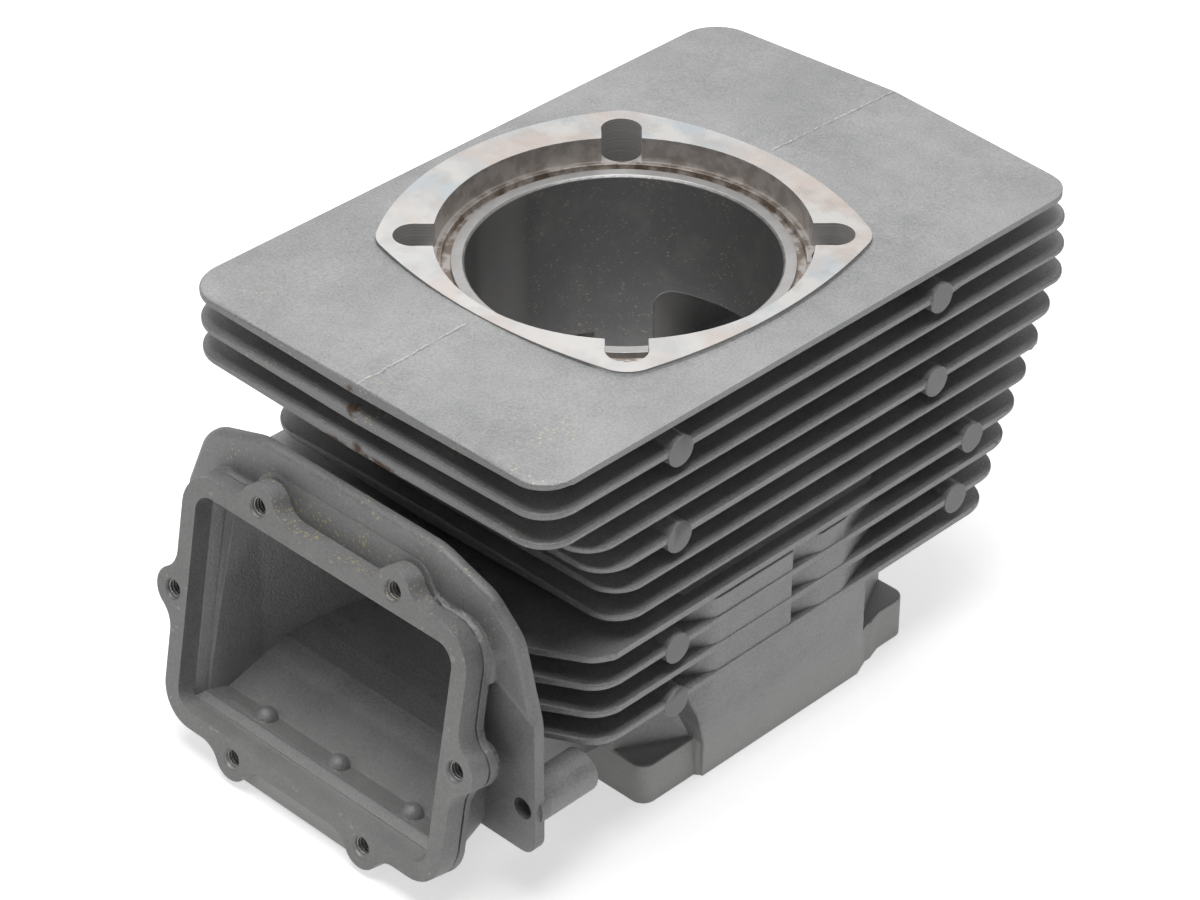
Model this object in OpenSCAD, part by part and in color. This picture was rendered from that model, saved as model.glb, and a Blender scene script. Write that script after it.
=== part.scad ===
// Air cooled two-stroke engine cylinder, one die casting, standing on its crankcase face.
// Z is the bore axis. The wide inlet duct faces -Y and the exhaust side faces +Y.

/* [Bore and head] */
// Radius of the bore
bore_r = 41; // [40:0.25:42]
// Height from the crankcase face to the machined head face
height = 125.6; // [125:0.2:127]
// Radius of the recess for the head spigot
recess_r = 49; // [48.5:0.25:49.5]
// Depth of the recess
recess_deep = 7; // [5:0.5:9]
// Half of the distance between two stud holes
stud_half = 38; // [37.5:0.25:38.5]
// Diameter of a stud hole
stud_d = 10.9; // [9:0.1:11.5]
// Radius of the rounded boss round each stud
stud_boss_r = 9.8; // [9.4:0.1:10.2]

/* [Fins] */
// Depth of the middle of the top fin below the head face
fin_drop = 2.35; // [2.2:0.05:2.5]
// Middle height of the lowest fin
fin_low_z = 37.8; // [37:0.1:38]
// Half width of every fin on the +X side
fin_half_w = 65.85; // [65:0.25:68]
// Half width of every fin on the -X side
fin_left_w = 64.4; // [64:0.2:67]
// Thickness of a fin at its outer edge
fin_edge_t = 1.8; // [1.6:0.1:2.4]
// Thickness of a fin at the parting plane
fin_root_t = 3.8; // [3:0.1:4.4]
// Radius of the fin corners on the +X side
fin_corner_r = 9.5; // [7:0.5:11]
// Radius of the fin corners on the -X side
fin_left_r = 12; // [9:0.5:14]
// Reach of the long upper fins on the exhaust side
fin_back_y = 104.5; // [102:0.5:107]
// How much each lower fin is shorter than the one above on the exhaust side
fin_back_step = 4.1; // [3.8:0.1:4.4]
// Reach of the three top fins over the duct
fin_front_y = 94; // [92:0.5:95]

/* [Duct] */
// Distance of the middle of the gasket face from the bore axis
gasket_y = 112.4; // [111.5:0.1:113.5]
// Height of the middle of the gasket face
gasket_z = 44.3; // [44:0.1:44.8]
// Backward lean of the gasket face in degrees
gasket_lean = 10.5; // [10:0.1:11]
// Half width of the duct mouth
mouth_half_w = 47.1; // [46.5:0.1:47.5]
// Half height of the duct mouth
mouth_half_h = 31.5; // [31:0.1:32]
// Width of the gasket rim between two ears
rim_w = 5.2; // [5:0.1:5.4]
// Radius of the ear round each tapped hole
ear_r = 6.2; // [5.8:0.1:6.6]
// Core diameter of the tapped holes in the gasket face
tap_d = 5; // [4.6:0.1:5.2]
// Distance of the upper and lower tapped holes from the middle line
tap_x = 24.7; // [24:0.1:25.5]
// Distance of the upper and lower tapped holes from the middle of the face
tap_v = 37.15; // [37:0.05:37.4]
// Distance of the two side tapped holes from the middle line
tap_side_x = 52.7; // [52.5:0.1:53]

/* [Plate and base] */
// Distance of the front of the shroud plate from the bore axis
plate_y = 98; // [97.6:0.1:98.4]
// Thickness of the shroud plate
plate_t = 3.6; // [3.2:0.1:4]
// Diameter of the two corner holes of the plate
corner_d = 6; // [5:0.5:6.5]
// Thickness of the base flange
base_t = 12.4; // [11:0.2:13]
// Half width of the base flange along X
base_half_x = 58.2; // [57.6:0.1:58.8]
// Reach of the base flange towards the duct
base_front_y = 51.5; // [51:0.25:52]
// Reach of the base flange towards the exhaust side
base_back_y = 53; // [52:0.25:54]
// Diameter of the round ejector pads
pad_d = 8.5; // [7:0.25:9]

/* [Hidden] */
$fn = 48;

cut = 1;                           // how far a cutting shape runs past the surface that it cuts
run = 200;                         // length of a profile that other shapes cut to size
slip = 0.01;                       // an arc is wider than a tangent one by this much, to cross the edge

recess_z = height - recess_deep;
slot_w = stud_d - 0.2;             // the slot from each stud hole to the recess, a little narrower than it
groove_in = bore_r + 3.5;          // ring groove in the floor of the recess
groove_out = bore_r + 6;
groove_deep = 1.8;
lead_in = 0.6;                     // small chamfer of a bore edge
barrel_r = bore_r + 8;
head_block = 16;                   // height of the block under the head face
head_reach = [53.1, 56.5, 59.7, 52.8];   // the head face reaches this far to +X, +Y, -X and -Y

fin_count = 11;
fin_pitch = (height - fin_drop - fin_low_z) / (fin_count - 1);
// Reach of the fins over the duct and on the exhaust side, from the top fin down.
fin_front = [fin_front_y, fin_front_y, fin_front_y, 79.6, 74.6, 69.9, 69.8];
fin_back = [102, fin_back_y - 0.7, fin_back_y, fin_back_y];
fin_peak = 3.7;                    // the exhaust edge of a fin is this much longer at the parting plane
front_peak = 0.4;
low_corner_y = 74.1;               // the four lowest fins splay out to the duct from here
low_front = [48, 83.8];

wall_x = 65.6;                     // outer face of the transfer wall between the lower fins
wall_foot_x = 60.2;
wall_front = 43;
wall_back = 31;
notch = [[-6.2, 0], [-2.4, 2.3], [7.5, 0]];   // valley between the two transfer passages, as y and depth

flange_front = 5.6;                // front layer of the gasket flange, down to its witness groove
witness = 0.7;
pocket_deep = 3.1;                 // depth of the shallow pocket between the two lower ears
flange_back = 8.6;
post_deep = 10.2;                  // the six screw bosses end at this depth
ear_fillet = 7.6;
rim_r = 10.5;
mouth_r = 5.5;
seat_deep = 5.8;                   // the mouth narrows between these two depths
seat_end = 8;
mouth_end = 9;
seat_in = [0.6, 2];                // and from the one width to the other, as insets from the rim
tap_deep = 9;
tap_lead = 1.1;                    // the countersink is this much wider than the tapped core
collar_x = 53.2;                   // half width of the collar, its lower and upper end, and its length
collar_v = [21.5, 38.2];
collar_run = 24;
neck_x = 48.3;
neck_mid = [-103, 10.3];           // a place on the underside of the neck, and its slope in degrees
neck_toe = [-130, 0];
neck_slope = 28;
neck_r = 7.5;
neck_top = 76;
neck_run = [-20, 70];              // the underside of the neck runs from and to here, from neck_mid
web_x = [37, 41];                  // two webs close the space under the duct, from the plate to the base
web_top = [80, 30];                // and slope from the lowest fin to the plate here, as y and z
plate_low = 15.8;
plate_top = 94;
// Outline of the plate and the radius of each of its corners.
plate_outline = [
    [fin_half_w, plate_low],
    [fin_half_w, 56.5],
    [59.8, plate_top - 14.5],
    [50.5, plate_top - 5.7],
    [33, plate_top],
    [-32, plate_top],
    [-53, plate_top - 6.6],
    [-62, 67],
    [-fin_half_w, 44],
    [-fin_half_w, plate_low]
];
plate_round = [5, 20, 12, 12, 20, 16, 14, 10, 30, 5];
corner_x = 61.35;
corner_z = 29.4;
corner_boss_r = 6;
corner_boss_y = 76.5;
corner_boss_in = 0.6;              // the boss is set in by this much from the corner hole
corner_floor = 4;                  // the corner holes stop this far before the ends of their bosses

// The duct inside, from the mouth to the bore: half width, floor and roof over distance from the bore axis.
duct_plan = [[120, 45.1], [110, 45.1], [103.5, 43.5], [87, 37.9], [59, 27.3], [45, 22], [30, 22]];
duct_floor = [
    [120, 15.8], [110, 14.1], [103.2, 12.8], [87.3, 23.8], [80.8, 26.1], [75, 27.4], [59, 29], [30, 29.2]
];
duct_roof = [[120, 72], [99, 72], [88, 62.5], [30, 52]];
duct_wall = 4.6;
bumps = [-26, 1.7, 29.2];          // three low domes on the floor of the mouth
bump_r = 3.2;
bump_mid = [-105.6, 13];

exhaust_half_w = 21.9;             // window of the exhaust port in the bore
exhaust_top = 83.4;
exhaust_low = 57;
exhaust_r = 5;
exhaust_wall = 5;
exhaust_y = 99;
exhaust_flange = [36, 21];
exhaust_tap_x = 29;
exhaust_tap_d = 6.8;
exhaust_tap_deep = 15;
exhaust_pad = 8;                   // thickness of the exhaust flange

// The transfer passages, as y from and to, on each side of the bore.
passages = [[-27, -7], [3, 25]];
passage_in = bore_r + 4.5;
passage_out = 55.5;
passage_turn = 60;                 // the outer wall of a passage leans in to the bore from this height
passage_top = 70;
window = [60, 69.5];               // and its window in the bore lies between these heights
window_in = 1.5;                   // the window is this much narrower at each side than its passage
port_from = 25;                    // cuts for the ports start at this distance from the bore axis

// The ejector pads, as y and the number of the fin, counted from the top.
pads = [[-47.9, 1], [-47.9, 4], [-47.9, 8], [-47.9, 10], [48.5, 1], [48.5, 4], [65, 7], [59.6, 9]];
pad_root = 30;

function unit(v) = v / norm(v);
function turn(u, v) = u[0] * v[1] - u[1] * v[0];
function reversed(p) = [for (i = [len(p) - 1 : -1 : 0]) p[i]];
function clipped(table, from) = concat([[from, lookup(from, table)]], [for (p = table) if (p[0] < from) p]);
function mirrored(p) = concat(p, [for (i = [len(p) - 1 : -1 : 0]) [-p[i][0], p[i][1]]]);
function fin_z(k) = fin_low_z + fin_pitch * (fin_count - 1 - k);

// What lies between one corner of an outline and the arc that rounds it.
module corner_wedge(before, at, after, r, grow) {
    u = unit(before - at);
    v = unit(after - at);
    half = acos(u * v) / 2;
    mid = at + unit(u + v) * r / sin(half);
    reach = r / tan(half);
    difference() {
        polygon([
            mid,
            mid + (at + u * reach - mid) * grow,
            mid + (at - mid) * grow,
            mid + (at + v * reach - mid) * grow
        ]);
        translate(mid) circle(r + slip);
    }
}

// A closed outline, counterclockwise, with each corner rounded by its own radius.
module outline(points, radii) {
    n = len(points);
    difference() {
        union() {
            polygon(points);
            for (i = [0 : n - 1]) {
                a = points[(i + n - 1) % n];
                b = points[i];
                c = points[(i + 1) % n];
                if (radii[i] > 0 && turn(b - a, c - b) < 0) corner_wedge(a, b, c, radii[i], 1.05);
            }
        }
        for (i = [0 : n - 1]) {
            a = points[(i + n - 1) % n];
            b = points[i];
            c = points[(i + 1) % n];
            if (radii[i] > 0 && turn(b - a, c - b) > 0) corner_wedge(a, b, c, radii[i], 1.4);
        }
    }
}

// A prism whose outline is drawn in Y and Z and which runs along X, evenly to both sides.
module along_x(width) {
    rotate([90, 0, 90]) linear_extrude(width, center = true) children();
}

// A prism whose outline is drawn in X and Z and which runs along Y, from one place to another.
module along_y(from, to) {
    translate([0, to, 0]) rotate([90, 0, 0]) linear_extrude(to - from) children();
}

// The frame of the gasket face: its Z points out of the duct, and its Y up along the face.
module on_gasket() {
    translate([0, -gasket_y, gasket_z]) rotate([90 - gasket_lean, 0, 0]) children();
}

module each_stud() {
    for (x = [-1, 1])
        for (y = [-1, 1])
            translate([x * stud_half, y * stud_half, 0]) children();
}

// Middle of the large arc that bows one side of the head face, touching two stud bosses.
function bow(reach) =
    (2 * pow(stud_half, 2) - pow(reach - stud_boss_r, 2)) / (2 * (stud_half - reach + stud_boss_r));

module head_outline() {
    difference() {
        intersection_for (i = [0 : 3])
            rotate(90 * i) translate([bow(head_reach[i]), 0])
                circle(head_reach[i] - bow(head_reach[i]), $fn = 120);
        for (i = [0 : 3]) {
            next = (i + 1) % 4;
            stud = [stud_half, stud_half];
            u = unit(stud - [bow(head_reach[i]), 0]) * stud_boss_r * 1.6;
            v = unit(stud - [0, bow(head_reach[next])]) * stud_boss_r * 1.6;
            rotate(90 * i) difference() {
                polygon([stud, stud + u, stud * 1.8, stud + v]);
                translate(stud) circle(stud_boss_r + slip);
            }
        }
    }
}

// Fins: flat plates that get thinner from the parting plane to their edges.
module fin_plan(k) {
    long = len(fin_back) - 1;
    back = k <= long ? fin_back[k] : fin_back[long] - (k - long) * fin_back_step;
    right = fin_half_w;
    left = -fin_left_w;
    points = k < len(fin_front)
        ? [
            [0, -fin_front[k] - front_peak],
            [right, -fin_front[k]],
            [right, back],
            [0, back + fin_peak],
            [left, back],
            [left, -fin_front[k]]
        ]
        : [
            [low_front[0], -low_front[1]],
            [right, -low_corner_y],
            [right, back],
            [0, back + fin_peak],
            [left, back],
            [left, -low_corner_y],
            [-low_front[0], -low_front[1]]
        ];
    outline(points, [for (p = points) p[0] == right ? fin_corner_r : p[0] == left ? fin_left_r : 0]);
}

module fin_wedge() {
    far = fin_half_w + cut;
    edge = fin_root_t / 2 - (fin_root_t - fin_edge_t) / 2 * far / fin_half_w;
    polygon(mirrored([[0, -fin_root_t / 2], [far, -edge], [far, edge], [0, fin_root_t / 2]]));
}

module fins() {
    for (k = [0 : fin_count - 1])
        translate([0, 0, fin_z(k)]) intersection() {
            translate([0, 0, -fin_root_t]) linear_extrude(2 * fin_root_t) fin_plan(k);
            along_y(-fin_back_y - 10, fin_back_y + 10) fin_wedge();
        }
}

// Ejector pads: round posts that lie across the edge of a fin, mirrored to both sides.
module pad_posts() {
    for (side = [-1, 1])
        for (p = pads)
            translate([side * pad_root, p[0], fin_z(p[1]) - 0.8])
                rotate([0, 90 * side, 0])
                    cylinder(d = pad_d, h = (side > 0 ? fin_half_w : fin_left_w) + 0.2 - pad_root);
}

module barrel() {
    cylinder(r = barrel_r, h = height - head_block / 2, $fn = 96);
    translate([0, 0, height - head_block]) linear_extrude(head_block) head_outline();
    each_stud() cylinder(r = stud_boss_r - 0.2, h = height - head_block / 2);
}

// The transfer passages bulge out to the tips of the lower fins, and lean in to the base.
module transfer_wall() {
    plan = [
        [30, -wall_front],
        [60, -wall_front],
        [wall_x, -34],
        [wall_x, 15],
        [60.5, wall_back],
        [30, wall_back]
    ];
    low_fin = fin_z(fin_count - 1);
    under_fin = fin_z(fin_count - 4) - 2;
    intersection() {
        difference() {
            linear_extrude(90) outline(plan, [0, 7, 8, 10, 1.5, 0]);
            translate([0, 0, low_fin]) linear_extrude(90)
                polygon([
                    [wall_x + cut, notch[0][0]],
                    [wall_x - notch[1][1], notch[1][0]],
                    [wall_x + cut, notch[2][0] + 2]
                ]);
        }
        along_y(-60, 60) polygon([
            [20, 0],
            [wall_foot_x, 0],
            [wall_x, low_fin - 1],
            [wall_x, under_fin],
            [61.6, under_fin + 2.6],
            [54, fin_z(6)],
            [20, fin_z(5)]
        ]);
        along_x(run) polygon([
            [-wall_front + 11.5, 0],
            [wall_back - 1.6, 0],
            [wall_back, base_t],
            [wall_back, 90],
            [-wall_front, 90],
            [-wall_front, low_fin + 3],
            [-wall_front + 10, base_t]
        ]);
    }
}

module base() {
    half = [
        [base_half_x, -base_front_y],
        [base_half_x, -wall_front + 10.4],
        [wall_foot_x, -wall_front + 11.9],
        [wall_foot_x, wall_back - 1.6],
        [base_half_x - 0.1, wall_back + 3.8],
        [base_half_x - 0.1, wall_back + 5.8],
        [base_half_x - 1.6, wall_back + 10.6],
        [base_half_x - 1.6, base_back_y]
    ];
    points = mirrored(half);
    linear_extrude(base_t)
        outline(points, [for (p = points) p[1] == -base_front_y || p[1] == base_back_y ? 4 : 0]);
    linear_extrude(fin_low_z) polygon(mirrored([
        [46.5, -base_front_y],
        [57, -32.5],
        [57, 32.5],
        [46.5, base_back_y]
    ]));
}

// An ear with a hollow fillet to each side, on a straight edge along X with the solid below it.
module ear(r, rise) {
    side = sqrt(pow(r + ear_fillet, 2) - pow(rise - ear_fillet, 2));
    touch = [side, ear_fillet - rise] * r / (r + ear_fillet);
    translate([0, rise]) circle(r);
    difference() {
        polygon(mirrored([[side, -cut], [side, 0], [touch[0], rise + touch[1]]]));
        for (s = [-1, 1])
            translate([s * side, ear_fillet]) circle(ear_fillet + slip);
    }
}

module rim_outline(inset, rear) {
    w = mouth_half_w + rim_w - inset;
    h = mouth_half_h + rim_w - inset;
    outline([[-w, -h], [w, -h], [w, h], [-w, h]], [rim_r, rim_r, rim_r, rim_r]);
    for (s = [-1, 1]) {
        r = ear_r - inset + (rear && s > 0 ? 1.4 : 0);
        for (x = [-tap_x, tap_x])
            mirror([0, s < 0 ? 1 : 0]) translate([x, h]) ear(r, tap_v - h);
        if (rear) translate([-tap_x, s > 0 ? 0 : -tap_v - r]) square([2 * tap_x, tap_v + r]);
        rotate(-90 * s) translate([0, w]) ear(ear_r - inset, tap_side_x - w);
    }
}

module gasket_flange() {
    on_gasket() {
        translate([0, 0, -flange_front]) linear_extrude(flange_front) rim_outline(0, false);
        translate([0, 0, -flange_front - witness])
            linear_extrude(2 * witness) rim_outline(0.6, false);
        translate([0, 0, -flange_back])
            linear_extrude(flange_back - flange_front - witness) rim_outline(0, true);
        translate([-tap_x, -tap_v - ear_r, -flange_front])
            cube([2 * tap_x, 2 * ear_r, flange_front - pocket_deep]);
        at_taps() translate([0, 0, -post_deep]) cylinder(r = ear_r - 0.6, h = post_deep - flange_front);
    }
}

// The duct between the flange and the plate, with a wider collar round its upper half.
module neck() {
    intersection() {
        translate([0, neck_mid[0], neck_mid[1]]) rotate([neck_slope, 0, 0]) along_y(neck_run[0], neck_run[1])
            outline([[-neck_x, 0], [neck_x, 0], [neck_x, run], [-neck_x, run]], [neck_r, neck_r, 0, 0]);
        on_gasket() translate([-run / 2, -run / 2, -run / 2]) cube([run, run, run / 2 - seat_deep]);
        along_x(run) polygon([
            neck_toe,
            neck_mid,
            [-plate_y + cut, plate_low + 0.2],
            [-plate_y + cut, neck_top],
            [neck_toe[0], neck_top]
        ]);
    }
    intersection() {
        on_gasket() translate([0, 0, -collar_run]) linear_extrude(collar_run - flange_back + cut)
            outline(mirrored([[collar_x, collar_v[0]], [collar_x, collar_v[1]]]), [2, 12, 12, 2]);
        translate([-run / 2, -gasket_y, 0]) cube([run, gasket_y - plate_y + cut, run]);
    }
}

module webs() {
    for (side = [0, 1])
        mirror([side, 0, 0]) translate([(web_x[0] + web_x[1]) / 2, 0, 0]) along_x(web_x[1] - web_x[0])
            polygon([
                [-plate_y + cut, plate_low],
                [-base_front_y + cut, base_t - 2.5],
                [-base_front_y + cut, fin_low_z],
                [-web_top[0], fin_low_z],
                [-plate_y + cut, web_top[1]]
            ]);
}

module plate() {
    along_y(-plate_y, -plate_y + plate_t) outline(plate_outline, plate_round);
    for (s = [-1, 1])
        translate([s * (corner_x - corner_boss_in), -corner_boss_y, corner_z])
            rotate([90, 0, 0]) cylinder(r = corner_boss_r, h = plate_y - plate_t / 2 - corner_boss_y);
}

// The passage of the duct, or with a wall to grow by, its outside.
module duct_space(grow, from) {
    intersection() {
        linear_extrude(run) polygon(mirrored([for (p = clipped(duct_plan, from)) [p[1] + grow, -p[0]]]));
        along_x(run) polygon(concat(
            [for (p = clipped(duct_floor, from)) [-p[0], p[1] - grow]],
            reversed([for (p = clipped(duct_roof, from)) [-p[0], p[1] + grow]])
        ));
    }
}

module mouth() {
    w = mouth_half_w;
    h = mouth_half_h;
    on_gasket() {
        translate([0, 0, -seat_deep]) linear_extrude(seat_deep + cut)
            outline([[-w, -h], [w, -h], [w, h], [-w, h]], [mouth_r, mouth_r, mouth_r, mouth_r]);
        intersection() {
            along_y(-h, h) funnel(w);
            along_x(2 * w) funnel(h);
        }
    }
}

// The narrowing of the mouth, as half width over depth.
module funnel(w) {
    polygon(mirrored([
        [w - seat_in[1], -mouth_end],
        [w - seat_in[1], -seat_end],
        [w - seat_in[0], -seat_deep],
        [w - seat_in[0], -seat_deep + cut]
    ]));
}

module floor_bumps() {
    for (x = bumps)
        translate([x, bump_mid[0], bump_mid[1]]) sphere(r = bump_r, $fn = 24);
}

module at_taps() {
    for (s = [-1, 1]) {
        for (x = [-tap_x, tap_x])
            translate([x, s * tap_v, 0]) children();
        translate([s * tap_side_x, 0, 0]) children();
    }
}

module tapped_holes() {
    on_gasket() at_taps() {
        translate([0, 0, -tap_deep]) cylinder(d = tap_d, h = tap_deep + cut);
        translate([0, 0, -tap_lead / 2]) cylinder(d1 = tap_d, d2 = tap_d + 2 * tap_lead, h = tap_lead);
    }
}

module corner_holes() {
    for (s = [-1, 1])
        translate([s * corner_x, -corner_boss_y - corner_floor, corner_z])
            rotate([90, 0, 0]) cylinder(d = corner_d, h = plate_y - corner_boss_y);
}

// The exhaust side, which the photo hides: a plain port, duct and flange.
module exhaust_body() {
    mid = (exhaust_top + exhaust_low) / 2;
    along_y(0, exhaust_y) outline(
        mirrored([
            [exhaust_half_w + exhaust_wall, exhaust_low - exhaust_wall],
            [exhaust_half_w + exhaust_wall, exhaust_top + exhaust_wall]
        ]),
        [8, 8, 8, 8]
    );
    along_y(exhaust_y - exhaust_pad, exhaust_y) outline(
        mirrored([
            [exhaust_flange[0], mid - exhaust_flange[1]],
            [exhaust_flange[0], mid + exhaust_flange[1]]
        ]),
        [10, 10, 10, 10]
    );
}

module exhaust_space() {
    mid = (exhaust_top + exhaust_low) / 2;
    along_y(port_from, exhaust_y + cut) outline(
        mirrored([[exhaust_half_w, exhaust_low], [exhaust_half_w, exhaust_top]]),
        [exhaust_r, exhaust_r, exhaust_r, exhaust_r]
    );
    for (s = [-1, 1])
        translate([s * exhaust_tap_x, exhaust_y + cut, mid])
            rotate([90, 0, 0]) cylinder(d = exhaust_tap_d, h = exhaust_tap_deep + cut);
}

module transfer_space() {
    for (side = [-1, 1])
        for (p = passages)
            mirror([side < 0 ? 1 : 0, 0, 0]) {
                difference() {
                    along_y(p[0], p[1]) polygon([
                        [port_from, -cut],
                        [passage_out, -cut],
                        [passage_out, passage_turn],
                        [passage_in + 0.7, passage_top],
                        [port_from, passage_top]
                    ]);
                    translate([0, 0, -2 * cut]) cylinder(r = passage_in, h = passage_top + 4 * cut, $fn = 96);
                }
                translate([port_from, p[0] + window_in, window[0]])
                    cube([
                        passage_in + 0.6 - port_from,
                        p[1] - p[0] - 2 * window_in,
                        window[1] - window[0]
                    ]);
            }
}

module bore_space() {
    translate([0, 0, -cut]) cylinder(r = bore_r, h = height + 2 * cut, $fn = 96);
    translate([0, 0, recess_z - lead_in])
        cylinder(r1 = bore_r, r2 = bore_r + 2 * lead_in, h = 2 * lead_in, $fn = 96);
    translate([0, 0, recess_z]) cylinder(r = recess_r, h = recess_deep + cut, $fn = 96);
    translate([0, 0, recess_z - groove_deep]) difference() {
        cylinder(r = groove_out, h = groove_deep + cut, $fn = 96);
        cylinder(r = groove_in, h = groove_deep + 2 * cut, $fn = 96);
    }
    each_stud() translate([0, 0, -cut]) cylinder(d = stud_d, h = height + 2 * cut);
    for (i = [0 : 3])
        rotate(45 + 90 * i) translate([groove_in + 1, -slot_w / 2, recess_z - slip])
            cube([stud_half * sqrt(2) - groove_in - 1, slot_w, recess_deep + cut]);
}

module cylinder_casting() {
    color("dimgray") {
        difference() {
            union() {
                barrel();
                fins();
                pad_posts();
                transfer_wall();
                mirror([1, 0, 0]) transfer_wall();
                base();
                gasket_flange();
                neck();
                webs();
                plate();
                intersection() {
                    duct_space(duct_wall, plate_y);
                    translate([-80, -plate_y, plate_low + 0.2]) cube([160, plate_y, height - plate_low]);
                }
                exhaust_body();
            }
            difference() {
                union() {
                    mouth();
                    duct_space(0, 118);
                }
                floor_bumps();
            }
            exhaust_space();
            transfer_space();
            tapped_holes();
            corner_holes();
            bore_space();
        }
    }
}

cylinder_casting();  // cylinder
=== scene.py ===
"""An air cooled two-stroke engine cylinder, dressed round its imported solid. Metres, Z up, the inlet duct to -Y."""

import math

import bmesh
import bpy
from mathutils import Matrix, Vector
from mathutils.bvhtree import BVHTree
from mathutils.kdtree import KDTree


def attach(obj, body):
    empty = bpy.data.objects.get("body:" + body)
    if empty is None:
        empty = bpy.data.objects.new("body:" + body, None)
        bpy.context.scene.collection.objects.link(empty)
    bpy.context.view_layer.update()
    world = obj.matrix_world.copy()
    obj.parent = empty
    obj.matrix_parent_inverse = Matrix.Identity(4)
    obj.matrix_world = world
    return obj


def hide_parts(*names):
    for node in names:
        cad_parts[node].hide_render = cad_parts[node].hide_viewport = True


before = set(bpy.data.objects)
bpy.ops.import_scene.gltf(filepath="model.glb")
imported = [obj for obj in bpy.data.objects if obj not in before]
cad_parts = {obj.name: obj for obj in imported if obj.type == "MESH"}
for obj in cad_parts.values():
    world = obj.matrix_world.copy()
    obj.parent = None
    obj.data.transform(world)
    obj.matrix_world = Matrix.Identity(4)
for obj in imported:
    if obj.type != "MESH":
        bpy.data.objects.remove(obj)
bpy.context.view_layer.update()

# The casting: one die casting in an aluminium alloy, fins, duct and base in one piece.
# The die leaves every edge of the raw casting a little rounded, and the plate in front of the fins more so.
# The edges that a cutter made afterwards, on the faces and bores, are only broken, as are those of the pads.

BEND = math.radians(35)
CREASE = math.radians(24)
PLATE_ROUND = 0.0025
CAST_ROUND = 0.0009
BROKEN_EDGE = 0.0002
NEARLY = 0.0001

HEAD_Z = 0.1256
RECESS_Z = 0.1186
RECESS_R = 0.0492
GROOVE_DEPTH = 0.002
BORE_R = 0.041
STUD = 0.038
STUD_HOLE_R = 0.0056
FACE_LEAN = math.radians(10.5)
FACE_MIDDLE = Vector((0, -0.1124, 0.0443))
FACE_OUT = Vector((0, -math.cos(FACE_LEAN), math.sin(FACE_LEAN)))
FACE_UP = Vector((0, math.sin(FACE_LEAN), math.cos(FACE_LEAN)))
EXHAUST_Y = 0.099
PORT_HALF_WIDTH = 0.03
PORT_Z = (0.026, 0.095)
DUCT_HALF_WIDTH = 0.0415
DUCT_Y = (-0.1115, -0.0425)
DUCT_Z = (0.0165, 0.0715)
PLATE_Y = -0.098
PLATE_ROUND_Z = 0.040
CORNER_HOLE = Vector((0.06135, PLATE_Y, 0.0294))
CORNER_HOLE_REACH = 0.0036
TOP_FIN_Z = 0.12245
FIN_PITCH = 0.008545
PAD_X = 0.0655
PAD_R = 0.0042
PAD_RIM_R = 0.0046
PAD_HEIGHT = 0.0015
PADS = [
    (y, TOP_FIN_Z - FIN_PITCH * fin)
    for y, fin in (
        (-0.0479, 1), (-0.0479, 4), (-0.0479, 8), (-0.0479, 10),
        (0.0485, 1), (0.0485, 4), (0.065, 7), (0.0596, 9),
    )
]


def depth_behind_face(p):
    return -(p - FACE_MIDDLE).dot(FACE_OUT)


def from_stud(p):
    return math.hypot(abs(p.x) - STUD, abs(p.y) - STUD)


def on_pad(p):
    """Whether this place is on an ejector pad or on its rim."""
    return abs(p.x) > PAD_X - PAD_HEIGHT and any(math.hypot(p.y - y, p.z - z) < PAD_RIM_R for y, z in PADS)


def in_port(p):
    """Whether this place of the bore's wall is where the inlet and the exhaust open, as cast."""
    return abs(p.x) < PORT_HALF_WIDTH and PORT_Z[0] < p.z < PORT_Z[1]


def in_duct(p):
    return DUCT_Y[0] < p.y < DUCT_Y[1] and abs(p.x) < DUCT_HALF_WIDTH and DUCT_Z[0] < p.z < DUCT_Z[1]


def is_cut(p):
    """Whether a cutter, and not the die, made the surface at this place."""
    r = math.hypot(p.x, p.y)
    return (
        p.z > HEAD_Z - NEARLY
        or p.z < NEARLY
        or depth_behind_face(p) < NEARLY
        or abs(p.y - EXHAUST_Y) < NEARLY
        or (r < BORE_R + NEARLY and not in_port(p))
        or (p.z > RECESS_Z - GROOVE_DEPTH and r < RECESS_R)
        or from_stud(p) < STUD_HOLE_R
    )


def edge_width(middle, lowest):
    """How wide the round is on the edge with this middle and this height of its lower end."""
    if is_cut(middle) or on_pad(middle):
        return BROKEN_EDGE
    if (Vector((abs(middle.x), middle.y, middle.z)) - CORNER_HOLE).length < CORNER_HOLE_REACH:
        return BROKEN_EDGE
    if abs(middle.y - PLATE_Y) < NEARLY / 2 and lowest > PLATE_ROUND_Z:
        return PLATE_ROUND
    return CAST_ROUND


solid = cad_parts["cylinder"]
shell = bmesh.new()
shell.from_mesh(solid.data)
bmesh.ops.remove_doubles(shell, verts=shell.verts, dist=1e-5)
skin = BVHTree.FromBMesh(shell)
bmesh.ops.dissolve_degenerate(shell, dist=3e-5, edges=shell.edges)
bmesh.ops.dissolve_limit(shell, angle_limit=math.radians(1), verts=shell.verts, edges=shell.edges)
bmesh.ops.triangulate(shell, faces=shell.faces)
shell.verts.ensure_lookup_table()
edge_round = shell.edges.layers.float.new("bevel_weight_edge")
for edge in shell.edges:
    if edge.is_convex and edge.calc_face_angle(0) > BEND:
        middle = (edge.verts[0].co + edge.verts[1].co) / 2
        edge[edge_round] = edge_width(middle, min(v.co.z for v in edge.verts)) / PLATE_ROUND
corners = KDTree(len(shell.verts))
for i, vertex in enumerate(shell.verts):
    corners.insert(vertex.co, i)
corners.balance()
raw = bpy.data.meshes.new("casting_raw")
casting = bpy.data.objects.new("casting", raw)
bpy.context.scene.collection.objects.link(casting)


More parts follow.
